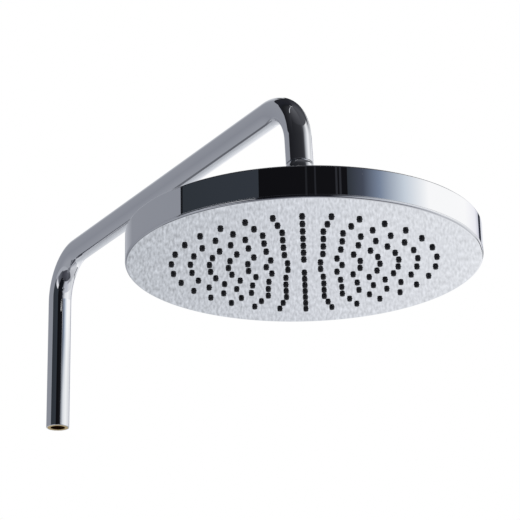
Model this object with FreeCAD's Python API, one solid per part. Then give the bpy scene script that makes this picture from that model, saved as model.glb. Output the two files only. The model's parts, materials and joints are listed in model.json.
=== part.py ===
import FreeCAD, Part
import math
import os

# Overhead end of a rigid shower column: bent riser tube, ball joint and round rain head.
# Lengths are millimetres and angles are degrees.
# The origin is the centre of the riser's foot, X runs along the arm to the head and Z is up.

# Tube
TUBE_OD = 24.0
TUBE_WALL = 1.2
BEND_RADIUS = 45.0
REACH = 479.0
ARM_HEIGHT = 182.0
FACE_BELOW_ARM = 159.0
DROP_LEAN = 3.5

# Threaded insert in the riser's foot, for a G3/8 nipple
INLET_THREAD_R = 7.475
INLET_THREAD_LENGTH = 14.0
INLET_LAND = 5.0
INLET_WATER_R = 5.5
INLET_WASHER_T = 1.5
INLET_WASHER_GRIP = 0.8

# Outlet nipple with a G1/2 thread, and the union nut on it
OUTLET_THREAD_R = 10.48
OUTLET_THREAD_LENGTH = 14.9
OUTLET_SHANK = 12.0
OUTLET_WATER_R = 7.0
NUT_WALL = 2.0
NUT_FLOOR = 4.0
NUT_LIFT = 16.0
NUT_BELOW_TUBE = 0.3
NUT_DOME_IN = 1.4
NUT_DOME_DROP = 2.6
NUT_DOME_ROUND = 9.0
NUT_FOOT_ROUND = 0.8
NUT_FLAT_DEPTH = 0.6
NUT_FLAT_HEIGHT = 11.0

# Flow regulator, filter and washer inside the union
REGULATOR_R = 8.3
REGULATOR_HEIGHT = 5.8
REGULATOR_PORT_R = 0.9
REGULATOR_PORT_COUNT = 8
REGULATOR_CORE_R = 1.2
REGULATOR_PORT_SHARE = 0.5
REGULATOR_RING_R = 0.75
FILTER_WASHER_T = 2.5
FILTER_WATER_R = 6.5
FILTER_SCREEN_R = 8.0
FILTER_SCREEN_T = 0.5
FILTER_HOLE_R = 0.6
FILTER_HOLE_PITCH = 1.9
FILTER_HOLE_COUNTS = (6, 12, 18)

# Ball stud
BALL_R = 12.0
NECK_R = 7.5
STUD_WATER_R = 4.5
STUD_TAIL = 3.9
RETAINER_T = 1.8
RETAINER_RIM = 2.2
RETAINER_SEAT = 1.2
RETAINER_SLOT = 5.0
TILT_LIMIT = 15.0

# Socket on top of the head
SEAL_WALL = 1.5
SEAL_FLOOR = 1.1
SEAL_WATER_R = 6.0
SEAL_TOP_DROP = 2.0
BUSH_TOP_DROP = 1.0
BUSH_WALL = 2.0
BUSH_FLANGE = 4.5
BUSH_TAIL_R = 10.0
BUSH_TAIL_LENGTH = 12.2
BUSH_WATER_R = 6.5
SEAT_RISE = 6.2
COLLAR_WALL = 2.8
COLLAR_CAP = 3.2
COLLAR_ROUND = 3.4
COLLAR_LIFT = 1.0
COLLAR_MOUTH = 0.3
FLUTE_COUNT = 18
FLUTE_R = 1.6
FLUTE_DEPTH = 0.5
GASKET_T = 1.2
GASKET_INSET = 0.6
LOCKNUT_T = 5.0
LOCKNUT_WALL = 4.0

# Head
HEAD_OD = 302.0
HEAD_HEIGHT = 27.0
SHELL_CROWN = 4.0
SHELL_TOP_WALL = 3.0
SHELL_RIM_WALL = 2.5
SHELL_EDGE_ROUND = 1.2
SHELL_PLATEAU_R = 34.0
CHAMBER_WALL = 4.0
CHAMBER_MARGIN = 1.0
PILLAR_R = 4.5
PILLAR_COUNT = 8
FACE_T = 2.2
FACE_EDGE_ROUND = 2.0
SEAM = 0.1
WATER_PLATE_T = 3.5
WATER_HOLE_R = 1.2
CHAMBER_RING_R = 0.9
CHAMBER_GROOVE_PLAY = 0.6

# Nozzles: the pattern's radius is a share of the head's, and its rows start on one line
PATTERN_SHARE = 112.0 / 151.0
PATTERN_TURN = -33.0
NOZZLE_COUNTS = (6, 12, 18, 24, 30, 30, 30)
NOZZLE_R = 2.4
NOZZLE_TAPER = 0.2
NOZZLE_ROUND = 0.6
NOZZLE_STAND = 2.4
NOZZLE_JET_R = 0.6
NOZZLE_JET_LENGTH = 2.8
MAT_T = 1.5
MAT_MARGIN = 7.0

# Snap hooks that hold the face plate to the water plate
HOOK_COUNT = 8
HOOK_T = 2.0
HOOK_WIDTH = 8.0
HOOK_BARB = 1.2
HOOK_BARB_HEIGHT = 1.8

# Plate screws, flow spreader and its screws
SCREW_R = 1.5
SCREW_HEAD_R = 3.0
SCREW_HEAD_HEIGHT = 2.0
SCREW_LENGTH = 14.0
SPREADER_R = 28.0
SPREADER_T = 2.0
SPREADER_GAP = 4.8
SPREADER_POST_R = 3.0
SPREADER_POST_INSET = 4.0
SPREADER_POST_COUNT = 4
SPREADER_SCREW_R = 1.2
SPREADER_SCREW_HEAD_R = 2.4
SPREADER_SCREW_HEAD_HEIGHT = 1.6
SPREADER_SCREW_LENGTH = 6.0
DRIVE_DEPTH = 0.9
DRIVE_WIDTH = 0.6
DRIVE_SPAN_SHARE = 0.6

# Fits
BRAZE_GAP = 0.05
THREAD_GAP = 0.1
BALL_GAP = 0.1
SLIP_GAP = 0.1
PLATE_GAP = 0.3
HOLE_GAP = 0.2
SWIVEL_GAP = 0.2
NECK_GAP = 0.5
OVERRUN = 1.0

# Turns
QUARTER_TURN = 90.0
FULL_TURN = 360.0
HEX_SIDES = 6

V = FreeCAD.Vector
UP = V(0, 0, 1)
ORIGIN = V(0, 0, 0)

# Heights in the head, from the face's lower side
HEAD_R = HEAD_OD / 2
RIM_IN_R = HEAD_R - SHELL_RIM_WALL
MAT_TOP = FACE_T + MAT_T
PLATE_TOP = MAT_TOP + WATER_PLATE_T
SHELL_TOP = HEAD_HEIGHT + SHELL_CROWN
BUSH_FOOT = SHELL_TOP + GASKET_T
BUSH_FLOOR = BUSH_FOOT + BUSH_FLANGE
BALL_ABOVE_FACE = BUSH_FLOOR + SLIP_GAP + SEAL_FLOOR + BALL_GAP + BALL_R

# Radii in the head
RING_PITCH = HEAD_R * PATTERN_SHARE / len(NOZZLE_COUNTS)
MAT_R = HEAD_R * PATTERN_SHARE + MAT_MARGIN
CHAMBER_R = MAT_R + CHAMBER_MARGIN
CHAMBER_RING_PATH_R = CHAMBER_R + CHAMBER_WALL / 2
FIXING_R = (CHAMBER_R + CHAMBER_WALL + RIM_IN_R) / 2
SPREADER_POST_PATH_R = SPREADER_R - SPREADER_POST_INSET
NOZZLE_HOLE_R = NOZZLE_R + HOLE_GAP

# Radii and heights in the socket, from the ball's centre
SEAT_R = BALL_R + BALL_GAP
SEAL_R = SEAT_R + SEAL_WALL
BUSH_BORE_R = SEAL_R + SLIP_GAP
BUSH_R = BUSH_BORE_R + BUSH_WALL
COLLAR_BORE_R = BUSH_R + THREAD_GAP
COLLAR_R = COLLAR_BORE_R + COLLAR_WALL
COLLAR_TOP = SEAT_RISE + COLLAR_CAP
COLLAR_FOOT = BUSH_FLOOR + COLLAR_LIFT - BALL_ABOVE_FACE

# Heights on the drop's axis, from the ball's centre
NUT_SEAT = NUT_LIFT + NUT_FLOOR
RETAINER_FOOT = NUT_SEAT + SWIVEL_GAP
RETAINER_TOP = RETAINER_FOOT + RETAINER_T
STUD_TOP = RETAINER_TOP + STUD_TAIL
WASHER_FOOT = STUD_TOP + SWIVEL_GAP
NIPPLE_FOOT = WASHER_FOOT + FILTER_WASHER_T
TUBE_END = NIPPLE_FOOT + OUTLET_THREAD_LENGTH
NUT_TOP = TUBE_END - NUT_BELOW_TUBE
NUT_BORE_R = OUTLET_THREAD_R + THREAD_GAP
NUT_R = NUT_BORE_R + NUT_WALL
REGULATOR_SEAT_R = REGULATOR_R + SLIP_GAP
REGULATOR_RING_PATH_R = REGULATOR_SEAT_R - REGULATOR_RING_R
SCREEN_SEAT_R = FILTER_SCREEN_R + SLIP_GAP
RETAINER_SEAT_R = NECK_R - RETAINER_SEAT

TUBE_R = TUBE_OD / 2
TUBE_IN_R = TUBE_R - TUBE_WALL
FACE_Z = ARM_HEIGHT - FACE_BELOW_ARM
FACE_CENTRE = V(REACH, 0, FACE_Z)
BALL_CENTRE = V(REACH, 0, FACE_Z + BALL_ABOVE_FACE)

ON_DROP = FreeCAD.Placement(BALL_CENTRE, FreeCAD.Rotation(V(0, 1, 0), -DROP_LEAN))
ON_BALL = FreeCAD.Placement(BALL_CENTRE, FreeCAD.Rotation())
ON_FACE = FreeCAD.Placement(FACE_CENTRE, FreeCAD.Rotation())
ON_FOOT = FreeCAD.Placement()


def corner_edges(before, corner, after, rounding):
    """The arc that rounds a profile's corner, with the points where it starts and ends."""
    back = (before - corner).normalize()
    ahead = (after - corner).normalize()
    half = back.getAngle(ahead) / 2
    start = corner + back * (rounding / math.tan(half))
    end = corner + ahead * (rounding / math.tan(half))
    centre = corner + (back + ahead).normalize() * (rounding / math.sin(half))
    middle = centre + (corner - centre).normalize() * rounding
    return Part.Arc(start, middle, end).toShape(), start, end


def turned(profile):
    """Solid of revolution about Z from corners of radius and height, with a rounding where given."""
    points = [V(corner[0], 0, corner[1]) for corner in profile]
    roundings = [corner[2] if len(corner) > 2 else 0 for corner in profile]
    arcs, starts, ends = [], [], []
    for i, point in enumerate(points):
        if roundings[i] > 0:
            after = points[(i + 1) % len(points)]
            arc, start, end = corner_edges(points[i - 1], point, after, roundings[i])
        else:
            arc, start, end = None, point, point
        arcs.append(arc)
        starts.append(start)
        ends.append(end)
    edges = []
    for i, arc in enumerate(arcs):
        if arc is not None:
            edges.append(arc)
        edges.append(Part.makeLine(ends[i], starts[(i + 1) % len(points)]))
    return Part.Face(Part.Wire(edges)).revolve(ORIGIN, UP, FULL_TURN)


def ring(outer, inner, low, high):
    """Straight ring between two radii and two heights."""
    return turned([(inner, low), (outer, low), (outer, high), (inner, high)])


def rod(radius, low, high, at=ORIGIN):
    """Upright cylinder between two heights over a point."""
    return Part.makeCylinder(radius, high - low, V(at.x, at.y, low))


def round_cord(path_radius, cord_radius, height):
    """Ring of round section about Z."""
    return Part.makeTorus(path_radius, cord_radius, V(0, 0, height))


def around(count, radius, start=0.0):
    """Points spread evenly on a circle, as pairs of a place and its angle."""
    places = []
    for i in range(count):
        angle = start + FULL_TURN * i / count
        turn = math.radians(angle)
        places.append((V(radius * math.cos(turn), radius * math.sin(turn), 0), angle))
    return places


def nozzle_points():
    """Centres of all nozzles, ring by ring."""
    points = []
    for i, count in enumerate(NOZZLE_COUNTS):
        points += [p for p, _ in around(count, RING_PITCH * (i + 1), PATTERN_TURN)]
    return points


def screw(shank_r, head_r, head_height, length, at):
    """Pan-head screw pointing up from a point under its head, with a cross recess."""
    tip = head_height + length
    body = turned([
        (0, 0), (head_r, 0), (head_r, head_height), (shank_r, head_height), (shank_r, tip), (0, tip),
    ])
    span = 2 * head_r * DRIVE_SPAN_SHARE
    bars = [(span, DRIVE_WIDTH), (DRIVE_WIDTH, span)]
    slots = [Part.makeBox(x, y, DRIVE_DEPTH, V(-x / 2, -y / 2, 0)) for x, y in bars]
    body = body.cut(slots)
    body.translate(at)
    return body


def tube_path():
    """Centre line of the tube: riser, rear bend, level arm, front bend and leaning drop."""
    lean = math.radians(DROP_LEAN)
    turn = math.radians(QUARTER_TURN - DROP_LEAN)
    up_drop = V(-math.sin(lean), 0, math.cos(lean))
    corner = BALL_CENTRE + up_drop * ((ARM_HEIGHT - BALL_CENTRE.z) / math.cos(lean))
    tangent = BEND_RADIUS * math.tan(turn / 2)
    bend_z = ARM_HEIGHT - BEND_RADIUS
    half = math.radians(QUARTER_TURN) / 2
    rear_mid = V(BEND_RADIUS * (1 - math.cos(half)), 0, bend_z + BEND_RADIUS * math.sin(half))
    rear_end = V(BEND_RADIUS, 0, ARM_HEIGHT)
    front_start = V(corner.x - tangent, 0, ARM_HEIGHT)
    swing = V(math.sin(turn / 2), 0, math.cos(turn / 2)) * BEND_RADIUS
    front_mid = V(front_start.x, 0, bend_z) + swing
    front_end = corner - up_drop * tangent
    rear_start = V(0, 0, bend_z)
    return Part.Wire([
        Part.makeLine(ORIGIN, rear_start),
        Part.Arc(rear_start, rear_mid, rear_end).toShape(),
        Part.makeLine(rear_end, front_start),
        Part.Arc(front_start, front_mid, front_end).toShape(),
        Part.makeLine(front_end, BALL_CENTRE + up_drop * TUBE_END),
    ])


def riser_arm_tube():
    """One bent tube from the riser's foot to the drop's end."""
    path = tube_path()
    skins = []
    for radius in (TUBE_R, TUBE_IN_R):
        section = Part.Wire(Part.makeCircle(radius, ORIGIN, UP))
        skins.append(path.makePipeShell([section], True, False))
    return skins[0].cut(skins[1])


def riser_inlet_insert():
    """Brass insert brazed into the riser's foot: thread, relief that holds the washer, and land."""
    relief_top = INLET_THREAD_LENGTH + INLET_WASHER_T
    top = relief_top + INLET_LAND
    body = ring(TUBE_IN_R - BRAZE_GAP, INLET_WATER_R, 0, top)
    relief_r = INLET_THREAD_R + INLET_WASHER_GRIP + SLIP_GAP
    thread = rod(INLET_THREAD_R, 0, INLET_THREAD_LENGTH)
    return body.cut([thread, rod(relief_r, INLET_THREAD_LENGTH, relief_top)])


def riser_inlet_washer():
    """Flat washer held in the insert's thread relief."""
    outer = INLET_THREAD_R + INLET_WASHER_GRIP
    return ring(outer, INLET_WATER_R, INLET_THREAD_LENGTH, INLET_THREAD_LENGTH + INLET_WASHER_T)


def outlet_nipple():
    """Nipple brazed into the drop's end, with a seat for the flow regulator in its foot."""
    seat_top = NIPPLE_FOOT + REGULATOR_HEIGHT
    top = TUBE_END + OUTLET_SHANK
    return turned([
        (REGULATOR_SEAT_R, NIPPLE_FOOT), (OUTLET_THREAD_R, NIPPLE_FOOT), (OUTLET_THREAD_R, TUBE_END),
        (TUBE_IN_R - BRAZE_GAP, TUBE_END), (TUBE_IN_R - BRAZE_GAP, top), (OUTLET_WATER_R, top),
        (OUTLET_WATER_R, seat_top), (REGULATOR_SEAT_R, seat_top),
    ])


def union_nut():
    """Round union nut with a domed top and two spanner flats."""
    hole = NECK_R + NECK_GAP
    body = turned([
        (hole, NUT_LIFT), (NUT_R, NUT_LIFT, NUT_FOOT_ROUND),
        (NUT_R, NUT_TOP - NUT_DOME_DROP, NUT_DOME_ROUND), (NUT_R - NUT_DOME_IN, NUT_TOP),
        (NUT_BORE_R, NUT_TOP), (NUT_BORE_R, NUT_SEAT), (hole, NUT_SEAT),
    ])
    reach = NUT_R - NUT_FLAT_DEPTH
    slab = Part.makeBox(2 * NUT_R, NUT_R, NUT_FLAT_HEIGHT, V(-NUT_R, reach, NUT_LIFT - OVERRUN))
    other = slab.copy()
    other.rotate(ORIGIN, UP, 2 * QUARTER_TURN)
    return body.cut([slab, other])


def filter_washer():
    """Sealing washer under the nipple, with a recess for the filter screen."""
    outer = OUTLET_THREAD_R - SLIP_GAP
    step = NIPPLE_FOOT - FILTER_SCREEN_T
    return turned([
        (FILTER_WATER_R, WASHER_FOOT), (outer, WASHER_FOOT), (outer, NIPPLE_FOOT),
        (SCREEN_SEAT_R, NIPPLE_FOOT), (SCREEN_SEAT_R, step), (FILTER_WATER_R, step),
    ])


def filter_screen():
    """Perforated steel disc in the washer's recess."""
    low = NIPPLE_FOOT - FILTER_SCREEN_T
    holes = [rod(FILTER_HOLE_R, low, NIPPLE_FOOT)]
    for i, count in enumerate(FILTER_HOLE_COUNTS):
        places = around(count, FILTER_HOLE_PITCH * (i + 1))
        holes += [rod(FILTER_HOLE_R, low, NIPPLE_FOOT, p) for p, _ in places]
    return rod(FILTER_SCREEN_R, low, NIPPLE_FOOT).cut(holes)


def flow_regulator():
    """Plastic flow regulator with a ring groove round it and ports through it."""
    top = NIPPLE_FOOT + REGULATOR_HEIGHT
    middle = NIPPLE_FOOT + REGULATOR_HEIGHT / 2
    groove_r = REGULATOR_RING_PATH_R - REGULATOR_RING_R
    half = REGULATOR_RING_R + SLIP_GAP
    body = turned([
        (REGULATOR_CORE_R, NIPPLE_FOOT), (REGULATOR_R, NIPPLE_FOOT), (REGULATOR_R, middle - half),
        (groove_r, middle - half), (groove_r, middle + half), (REGULATOR_R, middle + half),
        (REGULATOR_R, top), (REGULATOR_CORE_R, top),
    ])
    places = around(REGULATOR_PORT_COUNT, REGULATOR_R * REGULATOR_PORT_SHARE)
    return body.cut([rod(REGULATOR_PORT_R, NIPPLE_FOOT, top, p) for p, _ in places])


def regulator_ring():
    """Seal ring in the regulator's groove."""
    return round_cord(REGULATOR_RING_PATH_R, REGULATOR_RING_R, NIPPLE_FOOT + REGULATOR_HEIGHT / 2)


def ball_stud():
    """Hollow ball with its neck, and a groove near the neck's top for the retaining ring."""
    body = Part.makeSphere(BALL_R).fuse(rod(NECK_R, 0, STUD_TOP))
    bore = rod(STUD_WATER_R, -BALL_R - OVERRUN, STUD_TOP + OVERRUN)
    groove = ring(NECK_R + OVERRUN, RETAINER_SEAT_R, RETAINER_FOOT, RETAINER_TOP)
    return body.cut([bore, groove]).removeSplitter()


def stud_retaining_ring():
    """Open spring ring in the stud's groove, resting over the nut's floor."""
    outer = NECK_R + RETAINER_RIM
    body = ring(outer, RETAINER_SEAT_R + BRAZE_GAP, RETAINER_FOOT, RETAINER_TOP)
    gap = Part.makeBox(outer + OVERRUN, RETAINER_SLOT, RETAINER_T, V(0, -RETAINER_SLOT / 2, RETAINER_FOOT))
    return body.cut(gap)


def ball_seal():
    """Rubber cup under the ball."""
    low = -SEAT_R - SEAL_FLOOR
    return ring(SEAL_R, SEAL_WATER_R, low, -SEAL_TOP_DROP).cut(Part.makeSphere(SEAT_R))


def upper_seat_ring():
    """Hard plastic ring over the ball, clamped between the bush and the collar."""
    waist = math.sqrt(SEAT_R ** 2 - SEAT_RISE ** 2)
    return ring(BUSH_R, waist - OVERRUN, -BUSH_TOP_DROP, SEAT_RISE).cut(Part.makeSphere(SEAT_R))


def socket_collar():
    """Fluted collar screwed over the bush, with a mouth that lets the neck lean to the tilt limit."""
    tilt = math.radians(TILT_LIMIT)
    waist = math.sqrt(SEAT_R ** 2 - SEAT_RISE ** 2) + COLLAR_MOUTH
    mouth = COLLAR_TOP * math.tan(tilt) + NECK_R / math.cos(tilt) + NECK_GAP
    body = turned([
        (COLLAR_BORE_R, COLLAR_FOOT), (COLLAR_R, COLLAR_FOOT), (COLLAR_R, COLLAR_TOP, COLLAR_ROUND),
        (mouth, COLLAR_TOP), (waist, SEAT_RISE), (COLLAR_BORE_R, SEAT_RISE),
    ])
    low = COLLAR_FOOT - OVERRUN
    path = COLLAR_R + FLUTE_R - FLUTE_DEPTH
    return body.cut([rod(FLUTE_R, low, 0, p) for p, _ in around(FLUTE_COUNT, path)])


def socket_bush():
    """Brass bush through the shell's top: cup for the seal, flange and threaded tail."""
    tail = BUSH_FOOT - BUSH_TAIL_LENGTH
    flange_top = BUSH_FLOOR
    top = BALL_ABOVE_FACE - BUSH_TOP_DROP
    return turned([
        (BUSH_WATER_R, tail), (BUSH_TAIL_R, tail), (BUSH_TAIL_R, BUSH_FOOT), (COLLAR_R, BUSH_FOOT),
        (COLLAR_R, flange_top), (BUSH_R, flange_top), (BUSH_R, top), (BUSH_BORE_R, top),
        (BUSH_BORE_R, BUSH_FLOOR), (BUSH_WATER_R, BUSH_FLOOR),
    ])


def socket_gasket():
    """Flat gasket between the bush's flange and the shell."""
    return ring(COLLAR_R - GASKET_INSET, BUSH_TAIL_R + HOLE_GAP, SHELL_TOP, BUSH_FOOT)


def socket_locknut():
    """Hexagon nut on the bush's tail, under the shell's top."""
    top = SHELL_TOP - SHELL_TOP_WALL
    flat_r = BUSH_TAIL_R + LOCKNUT_WALL
    corner_r = flat_r / math.cos(math.pi / HEX_SIDES)
    corners = [p for p, _ in around(HEX_SIDES, corner_r)]
    outline = Part.makePolygon(corners + corners[:1])
    body = Part.Face(outline).extrude(V(0, 0, LOCKNUT_T))
    body.translate(V(0, 0, top - LOCKNUT_T))
    return body.cut(rod(BUSH_TAIL_R + THREAD_GAP, top - LOCKNUT_T, top))


def head_shell():
    """Shell: rim, crowned top, chamber wall and the pillars that take the plate screws."""
    hole = BUSH_TAIL_R + HOLE_GAP
    rim_foot = FACE_T + SEAM
    body = turned([
        (RIM_IN_R, rim_foot), (HEAD_R, rim_foot), (HEAD_R, HEAD_HEIGHT, SHELL_EDGE_ROUND),
        (SHELL_PLATEAU_R, SHELL_TOP), (hole, SHELL_TOP), (hole, SHELL_TOP - SHELL_TOP_WALL),
        (SHELL_PLATEAU_R, SHELL_TOP - SHELL_TOP_WALL), (RIM_IN_R, HEAD_HEIGHT - SHELL_TOP_WALL),
    ])
    root = HEAD_HEIGHT - SHELL_TOP_WALL / 2
    wall = ring(CHAMBER_R + CHAMBER_WALL, CHAMBER_R, PLATE_TOP, root)
    places = [p for p, _ in around(PILLAR_COUNT, FIXING_R)]
    body = body.fuse([wall] + [rod(PILLAR_R, PLATE_TOP, root, p) for p in places])
    pilot_top = MAT_TOP + SCREW_HEAD_HEIGHT + SLIP_GAP + SCREW_LENGTH + SLIP_GAP
    pilots = [rod(SCREW_R + BRAZE_GAP, PLATE_TOP - OVERRUN, pilot_top, p) for p in places]
    return body.cut(pilots).removeSplitter()


def chamber_seal():
    """Seal ring under the chamber wall."""
    return round_cord(CHAMBER_RING_PATH_R, CHAMBER_RING_R, PLATE_TOP - CHAMBER_RING_R)


def hook_slot(angle):
    """Slot in the water plate for one snap hook, with room for the hook to flex."""
    length = HOOK_BARB + HOLE_GAP + HOOK_T + HOLE_GAP
    width = HOOK_WIDTH + 2 * HOLE_GAP
    start = FIXING_R - HOOK_T / 2 - HOLE_GAP - HOOK_BARB
    slot = Part.makeBox(length, width, WATER_PLATE_T + 2 * OVERRUN, V(start, -width / 2, MAT_TOP - OVERRUN))
    slot.rotate(ORIGIN, UP, angle)
    return slot


def hook_places():
    """Angles of the snap hooks, half way between the pillars."""
    return [angle for _, angle in around(HOOK_COUNT, FIXING_R, FULL_TURN / PILLAR_COUNT / 2)]


def water_plate():
    """Plate that closes the water chamber and presses the nozzle mat on the face."""
    body = rod(RIM_IN_R - PLATE_GAP, MAT_TOP, PLATE_TOP)
    low, high = MAT_TOP - OVERRUN, PLATE_TOP + OVERRUN
    cuts = [rod(WATER_HOLE_R, low, high, p) for p in nozzle_points()]
    half = CHAMBER_RING_R + CHAMBER_GROOVE_PLAY / 2
    groove_foot = PLATE_TOP - 2 * CHAMBER_RING_R
    cuts.append(ring(CHAMBER_RING_PATH_R + half, CHAMBER_RING_PATH_R - half, groove_foot, high))
    for p, _ in around(PILLAR_COUNT, FIXING_R):
        cuts.append(rod(SCREW_R + HOLE_GAP, low, high, p))
        cuts.append(rod(SCREW_HEAD_R + HOLE_GAP, low, MAT_TOP + SCREW_HEAD_HEIGHT + SLIP_GAP, p))
    for p, _ in around(SPREADER_POST_COUNT, SPREADER_POST_PATH_R):
        cuts.append(rod(SPREADER_SCREW_R + HOLE_GAP, low, high, p))
        seat = MAT_TOP + SPREADER_SCREW_HEAD_HEIGHT + SLIP_GAP
        cuts.append(rod(SPREADER_SCREW_HEAD_R + HOLE_GAP, low, seat, p))
    cuts += [hook_slot(angle) for angle in hook_places()]
    return body.cut(cuts)


def plate_screws():
    """Screws that hold the water plate to the shell's pillars."""
    sizes = (SCREW_R, SCREW_HEAD_R, SCREW_HEAD_HEIGHT, SCREW_LENGTH)
    lift = V(0, 0, MAT_TOP + SLIP_GAP)
    return Part.makeCompound([screw(*sizes, p + lift) for p, _ in around(PILLAR_COUNT, FIXING_R)])


def flow_spreader():
    """Disc under the inlet that turns the water outward, on posts standing on the water plate."""
    disc_foot = PLATE_TOP + SPREADER_GAP
    top = disc_foot + SPREADER_T
    places = [p for p, _ in around(SPREADER_POST_COUNT, SPREADER_POST_PATH_R)]
    body = rod(SPREADER_R, disc_foot, top).fuse([rod(SPREADER_POST_R, PLATE_TOP, top, p) for p in places])
    pilot_top = MAT_TOP + SPREADER_SCREW_HEAD_HEIGHT + SPREADER_SCREW_LENGTH + 2 * SLIP_GAP
    pilots = [rod(SPREADER_SCREW_R + BRAZE_GAP, PLATE_TOP - OVERRUN, pilot_top, p) for p in places]
    return body.cut(pilots).removeSplitter()


def spreader_screws():
    """Screws through the water plate into the spreader's posts."""
    sizes = (SPREADER_SCREW_R, SPREADER_SCREW_HEAD_R, SPREADER_SCREW_HEAD_HEIGHT, SPREADER_SCREW_LENGTH)
    lift = V(0, 0, MAT_TOP + SLIP_GAP)
    places = around(SPREADER_POST_COUNT, SPREADER_POST_PATH_R)
    return Part.makeCompound([screw(*sizes, p + lift) for p, _ in places])


def nozzle_mat():
    """Silicone mat with its nozzles, each with a wide entry and a fine jet."""
    tip_r = NOZZLE_R - NOZZLE_TAPER
    nub = turned([
        (0, -NOZZLE_STAND), (tip_r, -NOZZLE_STAND, NOZZLE_ROUND), (NOZZLE_R, FACE_T), (NOZZLE_R, MAT_TOP),
        (0, MAT_TOP),
    ])
    low, high = -NOZZLE_STAND - OVERRUN, MAT_TOP + OVERRUN
    jet_top = NOZZLE_JET_LENGTH - NOZZLE_STAND
    entry_foot = jet_top + WATER_HOLE_R - NOZZLE_JET_R
    way = turned([
        (0, low), (NOZZLE_JET_R, low), (NOZZLE_JET_R, jet_top), (WATER_HOLE_R, entry_foot),
        (WATER_HOLE_R, high), (0, high),
    ])
    points = nozzle_points()
    nubs = [nub.translated(p) for p in points]
    ways = [way.translated(p) for p in points]
    return rod(MAT_R, FACE_T, MAT_TOP).fuse(nubs).cut(ways).removeSplitter()


def snap_hook(angle):
    """One snap hook on the face plate, with its barb over the water plate."""
    inner = FIXING_R - HOOK_T / 2
    out = inner + HOOK_T
    barb_foot = PLATE_TOP + SLIP_GAP
    high = barb_foot + HOOK_BARB_HEIGHT
    stem = Part.makeBox(HOOK_T, HOOK_WIDTH, high - FACE_T, V(inner, -HOOK_WIDTH / 2, FACE_T))
    tip = out + HOLE_GAP + HOOK_BARB
    side = [V(out, 0, barb_foot), V(tip, 0, barb_foot), V(out, 0, high), V(out, 0, barb_foot)]
    barb = Part.Face(Part.makePolygon(side)).extrude(V(0, HOOK_WIDTH, 0))
    barb.translate(V(0, -HOOK_WIDTH / 2, 0))
    hook = stem.fuse(barb)
    hook.rotate(ORIGIN, UP, angle)
    return hook


def face_plate():
    """Face plate: rounded edge, land inside the rim, recess for the mat, nozzle holes and hooks."""
    land_in = MAT_R + SLIP_GAP
    land_out = RIM_IN_R - PLATE_GAP
    body = turned([
        (0, 0), (HEAD_R, 0, FACE_EDGE_ROUND), (HEAD_R, FACE_T), (land_out, FACE_T), (land_out, MAT_TOP),
        (land_in, MAT_TOP), (land_in, FACE_T), (0, FACE_T),
    ])
    body = body.fuse([snap_hook(angle) for angle in hook_places()])
    holes = [rod(NOZZLE_HOLE_R, -OVERRUN, FACE_T + OVERRUN, p) for p in nozzle_points()]
    return body.cut(holes).removeSplitter()


NODES = [
    (riser_arm_tube, ON_FOOT),
    (riser_inlet_insert, ON_FOOT),
    (riser_inlet_washer, ON_FOOT),
    (outlet_nipple, ON_DROP),
    (union_nut, ON_DROP),
    (filter_washer, ON_DROP),
    (filter_screen, ON_DROP),
    (flow_regulator, ON_DROP),
    (regulator_ring, ON_DROP),
    (ball_stud, ON_DROP),
    (stud_retaining_ring, ON_DROP),
    (ball_seal, ON_BALL),
    (upper_seat_ring, ON_BALL),
    (socket_collar, ON_BALL),
    (socket_bush, ON_FACE),
    (socket_gasket, ON_FACE),
    (socket_locknut, ON_FACE),
    (head_shell, ON_FACE),
    (chamber_seal, ON_FACE),
    (water_plate, ON_FACE),
    (plate_screws, ON_FACE),
    (flow_spreader, ON_FACE),
    (spreader_screws, ON_FACE),
    (nozzle_mat, ON_FACE),
    (face_plate, ON_FACE),
]

os.makedirs("parts", exist_ok=True)
for make, place in NODES:
    shape = make()
    shape.Placement = place.multiply(shape.Placement)
    shape.exportStep("parts/" + make.__name__ + ".step")
    print(make.__name__, len(shape.Solids), "solids", shape.isValid())
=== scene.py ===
"""Looks of the overhead end of a rigid shower column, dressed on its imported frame."""

import json
import logging
import math
from dataclasses import dataclass
from enum import Enum
from typing import Any, Mapping, Sequence

import bpy
import numpy as np
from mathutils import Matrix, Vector


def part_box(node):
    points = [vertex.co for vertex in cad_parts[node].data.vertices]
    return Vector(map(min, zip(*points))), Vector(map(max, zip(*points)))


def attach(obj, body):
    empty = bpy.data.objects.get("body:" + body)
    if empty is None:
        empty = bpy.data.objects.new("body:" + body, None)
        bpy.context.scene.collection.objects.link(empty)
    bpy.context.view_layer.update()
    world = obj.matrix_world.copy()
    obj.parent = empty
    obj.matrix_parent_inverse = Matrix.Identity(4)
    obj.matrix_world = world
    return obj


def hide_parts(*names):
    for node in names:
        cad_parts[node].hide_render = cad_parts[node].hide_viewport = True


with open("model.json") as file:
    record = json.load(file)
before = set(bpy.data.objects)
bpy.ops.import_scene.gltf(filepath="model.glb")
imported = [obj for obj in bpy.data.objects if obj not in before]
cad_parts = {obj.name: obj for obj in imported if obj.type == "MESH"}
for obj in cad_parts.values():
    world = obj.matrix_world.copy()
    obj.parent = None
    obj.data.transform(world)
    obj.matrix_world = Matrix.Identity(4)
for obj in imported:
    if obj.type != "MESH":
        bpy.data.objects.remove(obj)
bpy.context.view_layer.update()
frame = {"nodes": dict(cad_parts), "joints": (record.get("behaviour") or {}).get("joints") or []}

LOG = logging.getLogger("shower_column")

# Metres in a millimetre, and the angle of a full turn
MM = 0.001
FULL_TURN = 2.0 * math.pi
# Points nearer than this are one point of a mesh
WELD = 0.001 * MM
# A row of points this far from a rounding keeps the shading of the straight side beside it flat
HOLD = 0.1 * MM

Socket = bpy.types.NodeSocket
Tree = bpy.types.NodeTree


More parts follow.
